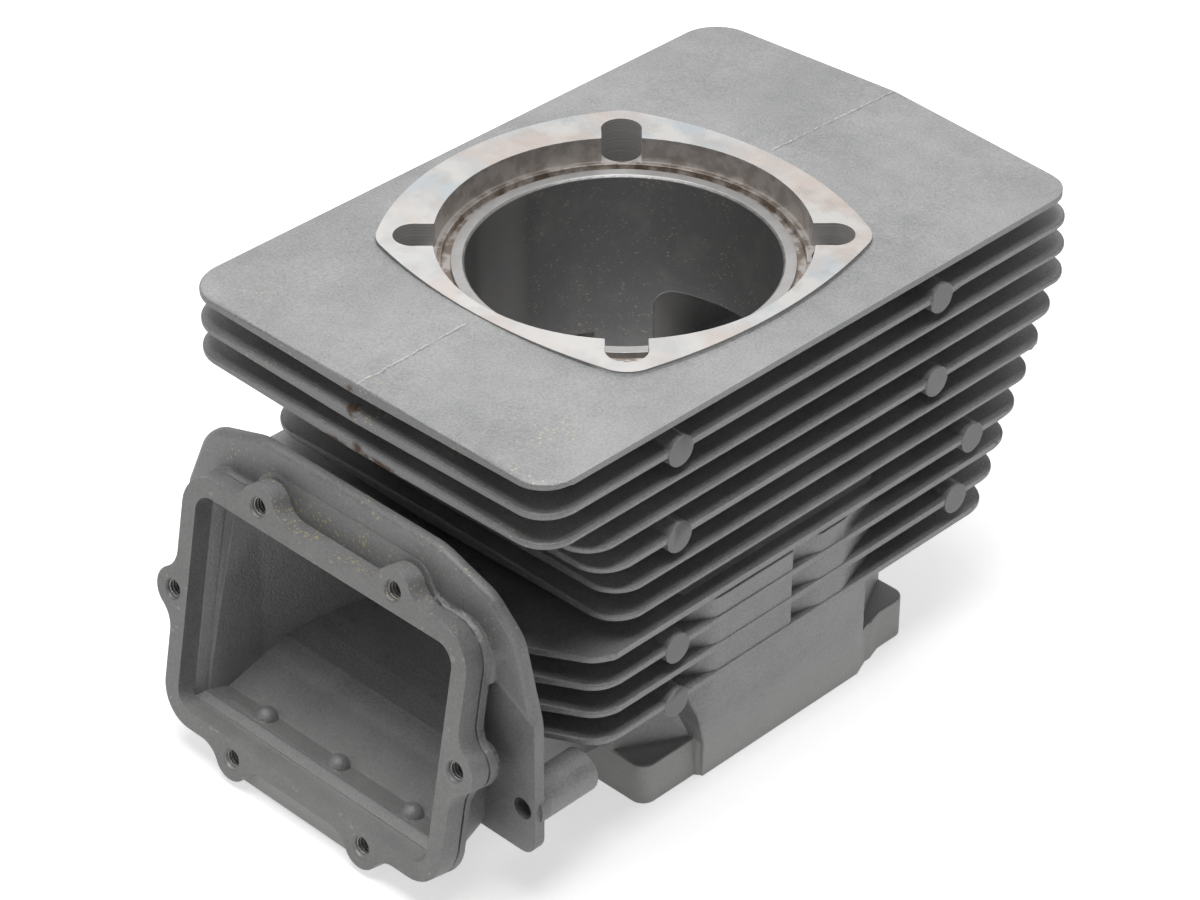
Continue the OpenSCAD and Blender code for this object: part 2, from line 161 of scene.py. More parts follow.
def made_by_modifier(kind, settings):
    """Puts one modifier on the casting and returns the plain mesh that it makes."""
    modifier = casting.modifiers.new("finishing", kind)
    for name, value in settings.items():
        setattr(modifier, name, value)
    mesh = bpy.data.meshes.new_from_object(casting.evaluated_get(bpy.context.evaluated_depsgraph_get()))
    casting.modifiers.clear()
    return mesh


# Where the round of an edge has no room and folds the surface over, it is made smaller, and then left out.
# A fold shows as a triangle that lies too far from the solid's skin, or is turned away from it.
ATTEMPTS = 6
HALVINGS = 2
SLIVER_AREA = 1.5e-8
FOLD_GAP = 0.0007
FOLD_TURN = 0.25
FOLD_REACH = 0.0009
for attempt in range(ATTEMPTS):
    shell.to_mesh(raw)
    surface = made_by_modifier("BEVEL", {
        "limit_method": "WEIGHT", "offset_type": "WIDTH", "width": PLATE_ROUND, "segments": 3,
        "loop_slide": False, "use_clamp_overlap": False, "miter_outer": "MITER_SHARP",
    })
    surface.calc_loop_triangles()
    folded = set()
    for triangle in surface.loop_triangles:
        if triangle.area > SLIVER_AREA:
            ends = [surface.vertices[i].co for i in triangle.vertices]
            middle = sum(ends, Vector()) / 3
            _, normal, _, gap = skin.find_nearest(middle)
            if gap > FOLD_GAP or normal.dot(triangle.normal) < FOLD_TURN:
                for place in (*ends, middle):
                    folded.update(i for _, i, _ in corners.find_range(place, FOLD_REACH))
    if not folded:
        break
    for i in folded:
        for edge in shell.verts[i].link_edges:
            edge[edge_round] *= 0.5 if attempt < HALVINGS else 0
shell.free()

# Flat faces shade flat and rounds shade round. The loft inside the duct has no flat face, and is left out.
OFF_SKIN = 1e-5
surface.shade_smooth()
surface.set_sharp_from_angle(angle=CREASE)
rounded = [skin.find_nearest(vertex.co)[3] > OFF_SKIN for vertex in surface.vertices]
creases = surface.attributes["sharp_edge"].data
for edge in surface.edges:
    if rounded[edge.vertices[0]] or rounded[edge.vertices[1]]:
        creases[edge.index].value = False
casting.data = surface
flats = casting.vertex_groups.new(name="flats")
flats.add([v.index for v in surface.vertices if not in_duct(v.co)], 1, "REPLACE")
surface = made_by_modifier(
    "WEIGHTED_NORMAL", {"mode": "FACE_AREA", "weight": 50, "keep_sharp": True, "vertex_group": "flats"}
)
surface.name = "casting"
casting.data = surface

# The finishes of the casting, from the raw skin to the turned, milled and honed surfaces.
# Each is told from the others by where it lies, and gets its own material.


def feed(tree, socket, value):
    """Links a socket to the one given, or sets it to a plain value."""
    if isinstance(value, bpy.types.NodeSocket):
        tree.links.new(value, socket)
    else:
        socket.default_value = value


def node(tree, kind, inputs=None, **settings):
    made = tree.nodes.new(kind)
    for name, value in settings.items():
        setattr(made, name, value)
    for name, value in (inputs or {}).items():
        feed(tree, made.inputs[name], value)
    return made


def math_node(tree, operation, *values, clamp=False):
    made = node(tree, "ShaderNodeMath", dict(enumerate(values)), operation=operation, use_clamp=clamp)
    return made.outputs[0]


def times(tree, a, b, clamp=False):
    return math_node(tree, "MULTIPLY", a, b, clamp=clamp)


def plus(tree, a, b):
    return math_node(tree, "ADD", a, b)


def vector_node(tree, operation, *values):
    return node(tree, "ShaderNodeVectorMath", dict(enumerate(values)), operation=operation)


def where(tree):
    """The place on the piece, in the piece's own metres."""
    return node(tree, "ShaderNodeTexCoord").outputs["Object"]


def ramp(tree, value, low, high, **settings):
    """The value stretched so that low and high come out as 0 and 1, and held between them."""
    return node(tree, "ShaderNodeMapRange", {0: value, 1: low, 2: high}, clamp=True, **settings).outputs[0]


def mix_colour(tree, share, a, b):
    made = node(tree, "ShaderNodeMix", {0: share}, data_type="RGBA")
    for i, value in ((6, a), (7, b)):
        feed(tree, made.inputs[i], value if isinstance(value, bpy.types.NodeSocket) else (*value, 1))
    return made.outputs[2]


def tinted(tree, colour, tint, mask, share):
    """The colour with a tint laid over it, at this share where the mask is 1."""
    return mix_colour(tree, times(tree, mask, share), colour, tint)


def bumped(tree, shader, height, strength, depth=0.0001):
    bump = node(tree, "ShaderNodeBump", {"Strength": strength, "Distance": depth, "Height": height})
    tree.links.new(bump.outputs[0], shader.inputs["Normal"])


def material(name, colour, metallic, roughness):
    made = bpy.data.materials.new(name)
    made.use_nodes = True
    shader = made.node_tree.nodes["Principled BSDF"]
    shader.inputs["Base Color"].default_value = (*colour, 1)
    shader.inputs["Metallic"].default_value = metallic
    shader.inputs["Roughness"].default_value = roughness
    return made, made.node_tree, shader


def group_of(name, inputs, outputs):
    group = bpy.data.node_groups.new(name, "ShaderNodeTree")
    for label, kind, value in inputs:
        socket = group.interface.new_socket(label, in_out="INPUT", socket_type="NodeSocket" + kind)
        socket.default_value = value
    for label in outputs:
        group.interface.new_socket(label, in_out="OUTPUT", socket_type="NodeSocketFloat")
    return group, group.nodes.new("NodeGroupInput"), group.nodes.new("NodeGroupOutput")


def noise_between(tree, scale, detail, low, high):
    """Noise stretched so that the values given come out as 0 and 1."""
    inputs = {"Vector": where(tree), "Scale": scale, "Detail": detail, "Roughness": 0.6}
    return ramp(tree, node(tree, "ShaderNodeTexNoise", inputs).outputs["Fac"], low, high)


def noise_line(tree, run, detail):
    """Noise along one length, for marks that a tool leaves side by side."""
    noise = node(tree, "ShaderNodeTexNoise", {"W": run, "Detail": detail}, noise_dimensions="1D")
    return noise.outputs["Fac"]


# Grain of the blasted casting: fine pits, a slow unevenness, a tone that changes slowly, and loose specks.
grain, grain_in, grain_out = group_of(
    "cast_grain", [("Pit", "Float", 0.0007), ("Speck Cell", "Float", 0.003)], ["Height", "Tone", "Speck"]
)
pits = noise_between(grain, math_node(grain, "DIVIDE", 1, grain_in.outputs["Pit"]), 3, 0.34, 0.66)
waves = noise_between(grain, 160, 2, 0.3, 0.7)
clouds = noise_between(grain, 34, 3, 0.34, 0.66)
grain.links.new(plus(grain, times(grain, pits, 0.7), times(grain, waves, 0.3)), grain_out.inputs["Height"])
tone = plus(grain, times(grain, clouds, 0.35), times(grain, pits, 0.5))
grain.links.new(plus(grain, tone, times(grain, waves, 0.15)), grain_out.inputs["Tone"])
cell_scale = math_node(grain, "DIVIDE", 1, grain_in.outputs["Speck Cell"])
cells = node(grain, "ShaderNodeTexVoronoi", {"Vector": where(grain), "Scale": cell_scale}, feature="F1")
speck_size = times(grain, noise_between(grain, 90, 1, 0.38, 0.75), 0.3)
speck = math_node(grain, "LESS_THAN", cells.outputs["Distance"], speck_size)
grain.links.new(speck, grain_out.inputs["Speck"])

# A mark along a straight line: a seam of the die, a scratch or a score. Ragged by the share given.
WANDER = (0.0014, 0.0014, 0.0006)
mark, mark_in, mark_out = group_of(
    "line_mark",
    [
        ("From", "Vector", (0, 0, 0)), ("To", "Vector", (0, 0, 0.01)),
        ("Width", "Float", 0.0003), ("Ragged", "Float", 0.5),
    ],
    ["Mask"],
)
place = where(mark)
along = vector_node(mark, "SUBTRACT", mark_in.outputs["To"], mark_in.outputs["From"]).outputs[0]
wander = node(mark, "ShaderNodeTexNoise", {"Vector": place, "Scale": 420, "Detail": 2}).outputs["Color"]
wander = vector_node(mark, "SUBTRACT", wander, (0.5, 0.5, 0.5)).outputs[0]
wander = vector_node(mark, "MULTIPLY_ADD", wander, WANDER, place).outputs[0]
away = vector_node(mark, "SUBTRACT", wander, mark_in.outputs["From"]).outputs[0]
reached = vector_node(mark, "DOT_PRODUCT", away, along).outputs["Value"]
whole = vector_node(mark, "DOT_PRODUCT", along, along).outputs["Value"]
share = math_node(mark, "DIVIDE", reached, whole, clamp=True)
nearest = node(mark, "ShaderNodeVectorMath", {0: along, "Scale": share}, operation="SCALE").outputs[0]
off = vector_node(mark, "SUBTRACT", away, nearest).outputs[0]
distance = vector_node(mark, "LENGTH", off).outputs["Value"]
rag = node(mark, "ShaderNodeTexNoise", {"Vector": place, "Scale": 900, "Detail": 2}).outputs["Fac"]
rag = math_node(mark, "SUBTRACT", 1, times(mark, times(mark, rag, 1.6), mark_in.outputs["Ragged"]))
reach = times(mark, mark_in.outputs["Width"], rag)
fade = times(mark, mark_in.outputs["Width"], 0.4)
inside = math_node(mark, "DIVIDE", math_node(mark, "SUBTRACT", reach, distance), fade, clamp=True)
mark.links.new(inside, mark_out.inputs["Mask"])


def line_mark(tree, start, end, width, ragged):
    values = {"From": start, "To": end, "Width": width, "Ragged": ragged}
    return node(tree, "ShaderNodeGroup", values, node_tree=mark).outputs["Mask"]


def most(tree, masks):
    """The highest of the masks given."""
    best = masks[0]
    for one in masks[1:]:
        best = math_node(tree, "MAXIMUM", best, one)
    return best


def near_spot(tree, spot, size):
    """1 at the spot, falling to 0 at the half widths given for the three axes."""
    off = vector_node(tree, "SUBTRACT", where(tree), spot).outputs[0]
    off = vector_node(tree, "DIVIDE", off, size).outputs[0]
    return math_node(tree, "SUBTRACT", 1, vector_node(tree, "LENGTH", off).outputs["Value"], clamp=True)


# Raw skin: grey, blasted, with the seams of the die, a painted shadow along one side of the flash lines, some rust
# stains on the front fins, and pale dust.
FLASH_Z = 0.12515
FLASH = [(0.0016, -0.0969, FLASH_Z), (0.0015, -0.0797, FLASH_Z), (0.0008, -0.0571, FLASH_Z)]
BACK_FLASH = [(-0.0026, 0.0580, FLASH_Z), (-0.0004, 0.1058, FLASH_Z)]
FLASH_RUNS = (FLASH[:2], FLASH[1:], BACK_FLASH)
FLASH_SHADOW = Vector((0.0007, 0, 0))
FIN_FRONT_Y = -0.0945
SEAMS = (
    ((-0.0008, FIN_FRONT_Y, 0.1165), (-0.0006, FIN_FRONT_Y, 0.1128), 0.0007, 0.7),
    ((-0.0006, FIN_FRONT_Y, 0.1075), (-0.0006, FIN_FRONT_Y, 0.1045), 0.0007, 0.7),
    ((-0.042, PLATE_Y, 0.0925), (-0.042, PLATE_Y, 0.0795), 0.0004, 0.6),
    ((0.042, PLATE_Y, 0.0935), (0.0418, PLATE_Y, 0.0795), 0.0004, 0.6),
    ((0.0425, PLATE_Y, 0.0801), (0.0565, PLATE_Y, 0.0802), 0.0003, 0.6),
    ((-0.040, -0.0765, 0.034), (-0.040, -0.0765, 0.024), 0.0004, 0.5),
)
FOOT_Y = -0.0516
SCRATCHES = (
    ((0.0523, FOOT_Y, 0.0076), (0.0569, FOOT_Y, 0.0068), 0.00035, 0.7),
    ((0.0550, FOOT_Y, 0.0058), (0.0600, FOOT_Y, 0.0064), 0.0003, 0.7),
    ((0.0413, PLATE_Y, 0.0797), (0.0422, PLATE_Y, 0.0790), 0.0005, 0.3),
)
RUST = (
    ((-0.0009, FIN_FRONT_Y, 0.1163), (0.0030, 0.004, 0.0022)),
    ((0.0012, FIN_FRONT_Y, 0.1052), (0.0025, 0.004, 0.0030)),
    ((-0.0065, FIN_FRONT_Y, 0.1042), (0.0055, 0.004, 0.0018)),
    ((0.0085, FIN_FRONT_Y, 0.1050), (0.0080, 0.004, 0.0013)),
    ((-0.0010, -0.0960, 0.1226), (0.0020, 0.004, 0.0015)),
)
POCKET = ((0.006, -0.1035, 0.0815), (0.044, 0.0085, 0.0085))
TOP_FIN_UNDERSIDE_Z = 0.1245
cast_skin, tree, shader = material("cast_skin", (0.3, 0.3, 0.31), 0.35, 0.5)
cast = node(tree, "ShaderNodeGroup", {"Pit": 0.00065}, node_tree=grain)
colour = mix_colour(tree, cast.outputs["Tone"], (0.225, 0.227, 0.228), (0.41, 0.412, 0.41))
seams = most(tree, [line_mark(tree, a, b, 0.0006, 0.75) for a, b in FLASH_RUNS])
# Dark die seams, and painted shadow: a dark copy of each flash line, shifted sideways by FLASH_SHADOW.
dark_seams_and_flash_shadow = most(
    tree,
    [line_mark(tree, Vector(a) + FLASH_SHADOW, Vector(b) + FLASH_SHADOW, 0.0006, 0.7) for a, b in FLASH_RUNS]
    + [line_mark(tree, *seam) for seam in SEAMS],
)
scratches = most(tree, [line_mark(tree, *scratch) for scratch in SCRATCHES])
colour = tinted(tree, colour, (0.10, 0.10, 0.10), dark_seams_and_flash_shadow, 0.6)
colour = tinted(tree, colour, (0.62, 0.61, 0.58), math_node(tree, "MAXIMUM", seams, scratches), 0.75)
stain = most(tree, [times(tree, near_spot(tree, spot, size), 2.2, clamp=True) for spot, size in RUST])
rust = times(tree, stain, noise_between(tree, 500, 4, 0.36, 0.54), clamp=True)
colour = tinted(tree, colour, (0.13, 0.062, 0.028), rust, 0.88)

# Dust lies on the upper front, more of it under the top fin, and as crumbs in the pocket over the duct.
xyz = node(tree, "ShaderNodeSeparateXYZ", {0: where(tree)})
x, y, z = xyz.outputs
forward = ramp(tree, y, -0.062, PLATE_Y)
raised = ramp(tree, z, 0.060, 0.085)
under_top = math_node(tree, "LESS_THAN", z, TOP_FIN_UNDERSIDE_Z)
dusty = times(tree, times(tree, forward, raised), plus(tree, times(tree, under_top, 0.7), 0.12))
dusty = plus(tree, dusty, 0.08)
dust = node(tree, "ShaderNodeGroup", {"Speck Cell": 0.0017}, node_tree=grain)
colour = mix_colour(tree, times(tree, dust.outputs["Speck"], dusty), colour, (0.60, 0.53, 0.36))
pocket = times(tree, near_spot(tree, *POCKET), 3, clamp=True)
crumbs = node(tree, "ShaderNodeTexVoronoi", {"Vector": where(tree), "Scale": 850}, feature="F1")
crumb_size = times(tree, noise_between(tree, 150, 2, 0.34, 0.62), 0.36)
crumbs = math_node(tree, "LESS_THAN", crumbs.outputs["Distance"], crumb_size)
colour = mix_colour(tree, times(tree, crumbs, pocket), colour, (0.60, 0.53, 0.33))

# Painted shade and painted light: the pads and the fins' front edges are painted darker, the foot and the port
# insides paler.
across = node(tree, "ShaderNodeCombineXYZ", {0: math_node(tree, "ABSOLUTE", x), 1: y, 2: z})
pad_shade = []
for pad_y, pad_z in PADS:
    off = vector_node(tree, "DISTANCE", across.outputs[0], (PAD_X, pad_y, pad_z)).outputs["Value"]
    pad_shade.append(math_node(tree, "LESS_THAN", off, PAD_R))
# Painted shade: darkens the ejector pads.
colour = tinted(tree, colour, (0.20, 0.20, 0.20), most(tree, pad_shade), 0.8)
# Painted shade: darkens the front edges of the fins under the top fin.
front = ramp(tree, y, -0.0925, -0.0940)
colour = tinted(tree, colour, (0.05, 0.05, 0.052), times(tree, front, under_top), 0.24)
# Painted light: the foot is made paler towards the floor, as if lit from below by the floor.
colour = tinted(tree, colour, (0.66, 0.65, 0.63), ramp(tree, z, 0.022, 0.004), 0.32)
from_axis = node(tree, "ShaderNodeCombineXYZ", {0: x, 1: y})
from_axis = vector_node(tree, "LENGTH", from_axis.outputs[0]).outputs["Value"]
# Painted light: the cast walls of the ports near the bore, below the ports' top, are made paler.
floor_and_port_light = ramp(tree, from_axis, 0.056, 0.046)
colour = tinted(tree, colour, (0.62, 0.61, 0.60), floor_and_port_light, math_node(tree, "LESS_THAN", z, PORT_Z[1]))
tree.links.new(colour, shader.inputs["Base Color"])
rough = plus(tree, times(tree, cast.outputs["Tone"], 0.2), 0.42)
tree.links.new(plus(tree, rough, times(tree, rust, 0.3)), shader.inputs["Roughness"])
relief = plus(tree, cast.outputs["Height"], times(tree, seams, 1.2))
bumped(tree, shader, math_node(tree, "SUBTRACT", relief, times(tree, dark_seams_and_flash_shadow, 0.6)), 0.5, depth=0.0002)

# Milled faces: the head face, the crankcase face and the exhaust face. They are satin, with fine arcs of the
# cutter, a film that shines brown and blue in patches, and smudges of old gasket.
CUTTER_MIDDLE = (0.16, 0.05, 0)
milled, tree, shader = material("milled_face", (0.47, 0.46, 0.45), 0.3, 0.58)
place = where(tree)
from_cutter = node(tree, "ShaderNodeMapping", {"Vector": place, "Location": CUTTER_MIDDLE}).outputs[0]
arcs = node(
    tree, "ShaderNodeTexWave", {"Vector": from_cutter, "Scale": 420, "Distortion": 0.6, "Detail": 1},
    wave_type="RINGS", rings_direction="Z",
).outputs["Fac"]
colour = mix_colour(tree, noise_between(tree, 42, 2, 0.4, 0.6), (0.48, 0.415, 0.38), (0.39, 0.43, 0.455))
colour = mix_colour(tree, noise_between(tree, 75, 3, 0.42, 0.62), colour, (0.52, 0.51, 0.495))
colour = tinted(tree, colour, (0.33, 0.30, 0.275), noise_between(tree, 110, 4, 0.53, 0.66), 0.45)
colour = tinted(tree, colour, (0.66, 0.65, 0.64), arcs, 0.2)
# Painted light: the front of each milled face is made paler.
forward = ramp(tree, node(tree, "ShaderNodeSeparateXYZ", {0: place}).outputs[1], 0.01, -0.05)
colour = tinted(tree, colour, (0.85, 0.82, 0.79), forward, 0.2)
tree.links.new(colour, shader.inputs["Base Color"])
bumped(tree, shader, arcs, 0.12)

# Gasket face of the duct: milled flat, then dulled by storage.
gasket, tree, shader = material("gasket_face", (0.24, 0.24, 0.245), 0.35, 0.45)
cast = node(tree, "ShaderNodeGroup", {"Pit": 0.0009}, node_tree=grain)
colour = mix_colour(tree, cast.outputs["Tone"], (0.165, 0.165, 0.163), (0.255, 0.255, 0.25))
colour = tinted(tree, colour, (0.5, 0.46, 0.38), cast.outputs["Speck"], 0.3)
tree.links.new(colour, shader.inputs["Base Color"])
bumped(tree, shader, cast.outputs["Height"], 0.18)

# Bore: honed, dark and oiled, with the crossed scratches of the stones, short specks, and a painted highlight: one
# pale band of sheen down the -X side of the wall.
SHEEN_SIDE = (math.cos(math.radians(-171)), math.sin(math.radians(-171)), 0)
bore, tree, shader = material("honed_bore", (0.16, 0.155, 0.15), 0.7, 0.34)
place = where(tree)
xyz = node(tree, "ShaderNodeSeparateXYZ", {0: place})
turn = times(tree, math_node(tree, "ARCTAN2", xyz.outputs[1], xyz.outputs[0]), BORE_R)
scores = []
for lean in (0.6, -0.6):
    run = plus(tree, times(tree, turn, lean), xyz.outputs[2])
    scores.append(noise_line(tree, times(tree, run, 2600), 2))
hatch = ramp(tree, plus(tree, *scores), 0.75, 1.25)
wound = node(tree, "ShaderNodeCombineXYZ", {0: times(tree, turn, 520), 1: times(tree, xyz.outputs[2], 800)})
dashes = node(
    tree, "ShaderNodeTexVoronoi", {"Vector": wound.outputs[0], "Scale": 1},
    feature="F1", voronoi_dimensions="2D",
).outputs["Distance"]
dashes = math_node(tree, "LESS_THAN", dashes, times(tree, noise_between(tree, 260, 1, 0.42, 0.78), 0.3))
colour = mix_colour(tree, hatch, (0.23, 0.23, 0.232), (0.39, 0.39, 0.392))
colour = tinted(tree, colour, (0.52, 0.51, 0.50), noise_between(tree, 70, 3, 0.5, 0.7), 0.35)
# Painted highlight: a pale band of sheen on the bore wall, on the side towards SHEEN_SIDE.
painted_sheen = vector_node(tree, "DOT_PRODUCT", place, SHEEN_SIDE).outputs["Value"]
painted_sheen = ramp(tree, painted_sheen, 0.0390, 0.0408, interpolation_type="SMOOTHSTEP")
colour = tinted(tree, colour, (0.72, 0.71, 0.70), painted_sheen, 0.45)
colour = tinted(tree, colour, (0.62, 0.52, 0.42), dashes, 0.8)
tree.links.new(colour, shader.inputs["Base Color"])
bumped(tree, shader, hatch, 0.15)

# Recess and its groove: turned, brown with old oil, with fine turning lines. Ring and wall are cleaner.
RING_R = 0.04452
WALL_R = 0.0482
turned, tree, shader = material("turned_recess", (0.30, 0.28, 0.26), 0.65, 0.4)
xyz = node(tree, "ShaderNodeSeparateXYZ", {0: where(tree)})
x, y, z = xyz.outputs
radius = math_node(tree, "SQRT", plus(tree, times(tree, x, x), times(tree, y, y)))
lines = noise_line(tree, times(tree, plus(tree, radius, z), 3200), 2)
ring = math_node(tree, "LESS_THAN", radius, RING_R)
wall = math_node(tree, "GREATER_THAN", radius, WALL_R)
floor_tone = mix_colour(tree, ring, (0.27, 0.22, 0.18), (0.44, 0.435, 0.43))
floor_tone = mix_colour(tree, wall, floor_tone, (0.50, 0.46, 0.435))
bare = math_node(tree, "SUBTRACT", 0.6, times(tree, ring, 0.45))
colour = tinted(tree, floor_tone, (0.80, 0.76, 0.73), noise_between(tree, 230, 5, 0.42, 0.58), bare)
colour = tinted(tree, colour, (0.08, 0.075, 0.07), lines, 0.3)
tree.links.new(colour, shader.inputs["Base Color"])
bumped(tree, shader, lines, 0.25)

# Stud holes and the slots to them: drilled and milled, dark and light in the rings that the drill leaves.
drilled, tree, shader = material("drilled_hole", (0.4, 0.4, 0.4), 0.35, 0.45)
depth = node(tree, "ShaderNodeSeparateXYZ", {0: where(tree)}).outputs[2]
rings = ramp(tree, noise_line(tree, times(tree, depth, 1300), 3), 0.35, 0.65)
tree.links.new(mix_colour(tree, rings, (0.22, 0.215, 0.21), (0.80, 0.79, 0.78)), shader.inputs["Base Color"])
bumped(tree, shader, rings, 0.3)

# Each face of the mesh gets its finish. That of a cut face runs over its broken edge, not down the wall.
ON_FACE = 0.00005
OVER_EDGE = 0.00016
SLOT_ACROSS = 0.0078
SLOT_R = (0.0485, 0.0545)
SLOT_DEPTH = 0.0005


def in_slot(p, r):
    """Whether this place is in one of the slots between the recess and the stud holes, on the diagonals."""
    on_diagonal = abs(abs(p.x) - abs(p.y)) < SLOT_ACROSS
    return on_diagonal and p.z > RECESS_Z - SLOT_DEPTH and SLOT_R[0] < r < SLOT_R[1]


def finish_at(p, n):
    """The material of the face with this middle and this normal."""
    r = math.hypot(p.x, p.y)
    if p.z > HEAD_Z - OVER_EDGE and n.z > 0.6 or p.z < ON_FACE and n.z < -0.9:
        return milled
    if abs(p.y - EXHAUST_Y) < ON_FACE and n.y > 0.9:
        return milled
    if r < BORE_R + 2 * NEARLY and p.z < RECESS_Z + NEARLY and n.x * p.x + n.y * p.y < -0.5 * r:
        return bore
    if p.z > RECESS_Z - GROOVE_DEPTH + NEARLY and r < RECESS_R:
        return turned
    if from_stud(p) < STUD_HOLE_R or in_slot(p, r):
        return drilled
    if depth_behind_face(p) < OVER_EDGE and n.dot(FACE_OUT) > 0.6:
        return gasket
    return cast_skin


finishes = [cast_skin, milled, gasket, bore, turned, drilled]
for one in finishes:
    surface.materials.append(one)
for polygon in surface.polygons:
    polygon.material_index = finishes.index(finish_at(polygon.center, polygon.normal))

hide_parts("cylinder")
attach(casting, "root")

# Threads: in the six tapped holes of the gasket face for 6 mm screws, and in the two of the exhaust face for
# 8 mm screws. They are cut in the metal of the casting. Each is a ridge, wound round the wall of its hole at
# the pitch of the screw.


def thread_tree():
    """A tree that winds a ridge on every corner point of its seats, upright on the seats' normal."""
    tree = bpy.data.node_groups.new("thread", "GeometryNodeTree")
    tree.interface.new_socket("Geometry", in_out="INPUT", socket_type="NodeSocketGeometry")
    for label, value in (("Radius", 0.0025), ("Pitch", 0.001), ("Turns", 8.0), ("Ridge", 0.0003)):
        tree.interface.new_socket(label, in_out="INPUT", socket_type="NodeSocketFloat").default_value = value
    tree.interface.new_socket("Finish", in_out="INPUT", socket_type="NodeSocketMaterial")
    tree.interface.new_socket("Geometry", in_out="OUTPUT", socket_type="NodeSocketGeometry")
    given, made = tree.nodes.new("NodeGroupInput"), tree.nodes.new("NodeGroupOutput")
    coil = node(tree, "GeometryNodeCurveSpiral", {
        "Resolution": 24,
        "Rotations": given.outputs["Turns"],
        "Start Radius": given.outputs["Radius"],
        "End Radius": given.outputs["Radius"],
        "Height": times(tree, given.outputs["Pitch"], given.outputs["Turns"]),
    })
    ridge = node(tree, "GeometryNodeCurvePrimitiveCircle", {
        "Resolution": 4, "Radius": given.outputs["Ridge"],
    })
    wound = node(tree, "GeometryNodeCurveToMesh", {
        "Curve": coil.outputs[0], "Profile Curve": ridge.outputs[0], "Fill Caps": True,
    })
    normal = node(tree, "GeometryNodeInputNormal")
    turned_up = node(tree, "FunctionNodeAlignRotationToVector", {"Vector": normal.outputs[0]}, axis="Z")
    placed = node(tree, "GeometryNodeInstanceOnPoints", {
        "Points": given.outputs["Geometry"], "Instance": wound.outputs[0], "Rotation": turned_up.outputs[0],
    })
    real = node(tree, "GeometryNodeRealizeInstances", {"Geometry": placed.outputs[0]})
    painted = node(tree, "GeometryNodeSetMaterial", {
        "Geometry": real.outputs[0], "Material": given.outputs["Finish"],
    })
    tree.links.new(painted.outputs[0], made.inputs["Geometry"])
    return tree


def grown(tree, holder, values):
    """Runs a tree on an object and returns the plain mesh that it makes."""
    modifier = holder.modifiers.new("grow", "NODES")
    modifier.node_group = tree
    for socket in tree.interface.items_tree:
        if socket.in_out == "INPUT" and socket.name in values:
            modifier[socket.identifier] = values[socket.name]
    mesh = bpy.data.meshes.new_from_object(holder.evaluated_get(bpy.context.evaluated_depsgraph_get()))
    holder.modifiers.clear()
    return mesh


SEAT_R = 0.0001


def seats_at(name, places, out):
    """A tiny triangle round each place, facing out, so that its corners have the hole's direction as normal.

    A ridge is wound on each corner: three in a hole, a tenth of a millimetre off its middle, that read as one.
    """
    seats = bmesh.new()
    for at in places:
        arms = [Matrix.Rotation(math.radians(turn), 3, out) @ out.orthogonal() for turn in (0, 120, 240)]
        seats.faces.new([seats.verts.new(at + arm * SEAT_R) for arm in arms])
    points = bpy.data.meshes.new(name)
    seats.to_mesh(points)
    seats.free()
    return points


DUCT_THREAD_DEPTH = 0.0088
EAR_X, EAR_UP, SIDE_EAR_X = 0.0247, 0.03715, 0.0527
DUCT_HOLES = [(x, up) for x in (-EAR_X, EAR_X) for up in (-EAR_UP, EAR_UP)]
DUCT_HOLES += [(-SIDE_EAR_X, 0), (SIDE_EAR_X, 0)]
EXHAUST_HOLES = [Vector((x, 0.0845, 0.0702)) for x in (-0.029, 0.029)]
threads = thread_tree()
for name, places, out, values in (
    (
        "duct_threads",
        [
            FACE_MIDDLE + Vector((x, 0, 0)) + FACE_UP * up - FACE_OUT * DUCT_THREAD_DEPTH
            for x, up in DUCT_HOLES
        ],
        FACE_OUT,
        {"Radius": 0.00262, "Pitch": 0.001, "Turns": 7.9, "Ridge": 0.0003},
    ),
    (
        "exhaust_threads",
        EXHAUST_HOLES,
        Vector((0, 1, 0)),
        {"Radius": 0.00352, "Pitch": 0.00125, "Turns": 11.2, "Ridge": 0.00036},
    ),
):
    holder = bpy.data.objects.new(name, seats_at(name + "_seats", places, out))
    bpy.context.scene.collection.objects.link(holder)
    holder.data = grown(threads, holder, {**values, "Finish": drilled})
    holder.data.shade_smooth()
    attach(holder, "root")

# The floor of the studio: pale paper, and white to the camera apart from the shadow of the casting.
# It also shows white in metal and glass, and lies a tenth of a millimetre under the crankcase face.
FLOOR_REACH = 4
FLOOR_GLOW = 0.6
floor_mesh = bmesh.new()
bmesh.ops.create_grid(floor_mesh, x_segments=1, y_segments=1, size=FLOOR_REACH)
floor_and_port_light = bpy.data.meshes.new("floor")
floor_mesh.to_mesh(floor_and_port_light)
floor_mesh.free()
floor = bpy.data.objects.new("floor", floor_and_port_light)
floor.location.z = -0.0001
bpy.context.scene.collection.objects.link(floor)
paper, tree, shader = material("paper_floor", (0.65, 0.65, 0.65), 0, 0.9)
rays = node(tree, "ShaderNodeLightPath")
mirrored = math_node(tree, "MAXIMUM", rays.outputs["Is Glossy Ray"], rays.outputs["Is Transmission Ray"])
seen = math_node(tree, "MAXIMUM", rays.outputs["Is Camera Ray"], mirrored)
glow = node(tree, "ShaderNodeEmission", {"Color": (1, 1, 1, 1), "Strength": times(tree, seen, FLOOR_GLOW)})
both = node(tree, "ShaderNodeAddShader", {0: shader.outputs[0], 1: glow.outputs[0]})
tree.links.new(both.outputs[0], tree.nodes["Material Output"].inputs["Surface"])
floor_and_port_light.materials.append(paper)

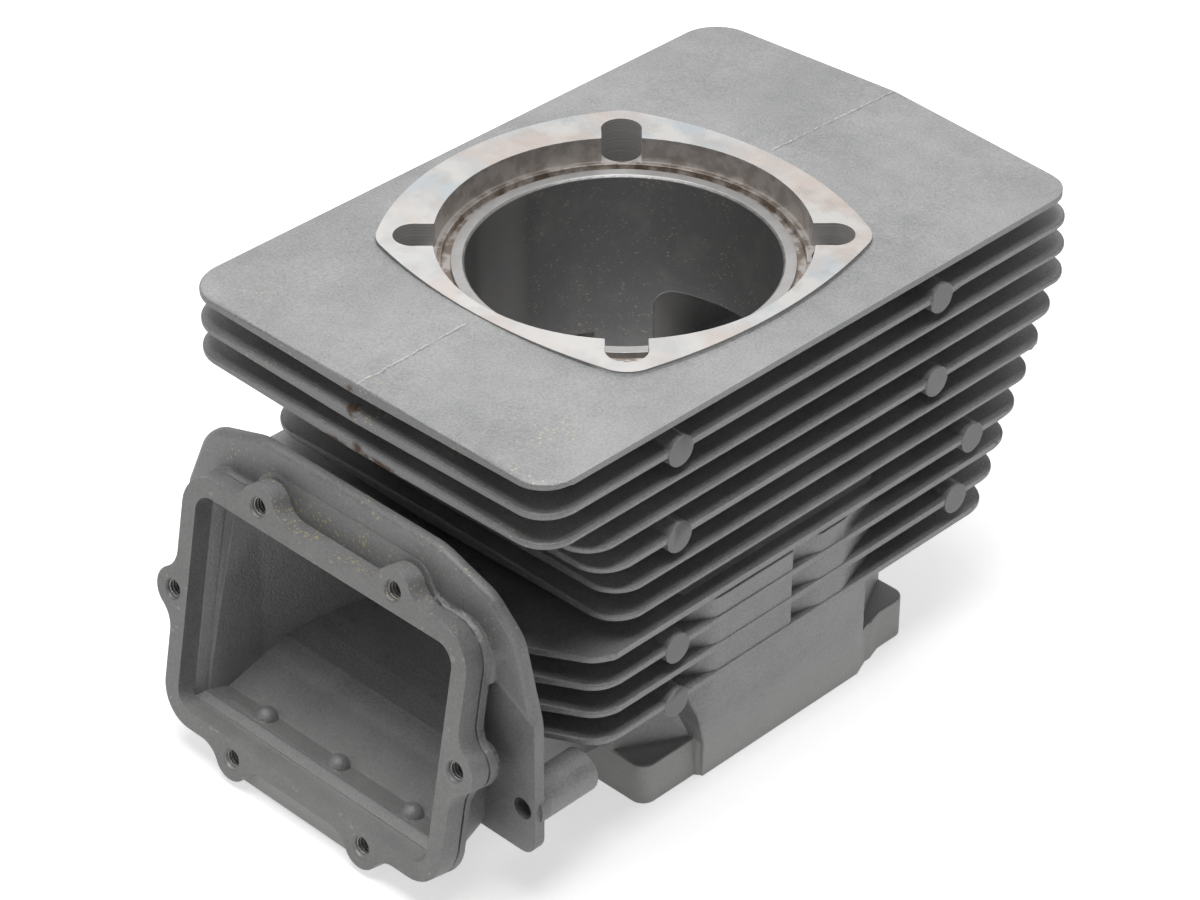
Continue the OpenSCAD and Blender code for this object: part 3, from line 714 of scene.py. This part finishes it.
# Light: a soft lamp straight above, a broad one opposite the camera, and a weak one in front on the left.
# The room is dim, and white only to the camera.
LAMPS = (
    ("key", (0.0, -0.07, 1.3), 0.9, 16.5),
    ("back", (-0.75, 0.8, 0.85), 1.6, 7),
    ("front", (-0.4, -1.2, 0.6), 0.9, 1.1),
)
LAMP_AIM = Vector((0, 0, 0.06))
ROOM_LIGHT = 0.15
for name, at, size, power in LAMPS:
    lamp = bpy.data.lights.new(name, "AREA")
    lamp.size = size
    lamp.energy = power
    held = bpy.data.objects.new(name, lamp)
    held.location = at
    held.rotation_euler = (Vector(at) - LAMP_AIM).to_track_quat("Z", "Y").to_euler()
    bpy.context.scene.collection.objects.link(held)
room = bpy.data.worlds.new("room")
room.use_nodes = True
tree = room.node_tree
rays = node(tree, "ShaderNodeLightPath")
seen = math_node(tree, "MAXIMUM", rays.outputs["Is Camera Ray"], rays.outputs["Is Transmission Ray"])
strength = plus(tree, times(tree, seen, 1 - ROOM_LIGHT), ROOM_LIGHT)
background = tree.nodes["Background"]
tree.links.new(strength, background.inputs["Strength"])
background.inputs["Color"].default_value = (1, 1, 1, 1)
bpy.context.scene.world = room
bpy.context.scene.view_settings.view_transform = "Standard"

# The camera stands where the photograph was taken, in front of the duct's right side and above it.
# Its place, lens and three angles were solved from the edges of the fins and the circles of the bore.
STAND = (0.59448, -0.61492, 0.65185)
azimuth, elevation, roll = (math.radians(a) for a in (44.431, 34.755, 0.196))
eye = bpy.data.cameras.new("camera")
eye.sensor_fit = "HORIZONTAL"
eye.sensor_width = 36
eye.lens = 117.65
eye.clip_start = 0.05
camera = bpy.data.objects.new("camera", eye)
back = Vector((
    math.sin(azimuth) * math.cos(elevation),
    -math.cos(azimuth) * math.cos(elevation),
    math.sin(elevation),
))
level = Vector((math.cos(azimuth), math.sin(azimuth), 0))
right = math.cos(roll) * level + math.sin(roll) * back.cross(level)
turned_to = Matrix((right, back.cross(right), back)).transposed().to_4x4()
camera.matrix_world = Matrix.Translation(STAND) @ turned_to
bpy.context.scene.collection.objects.link(camera)
bpy.context.scene.camera = camera
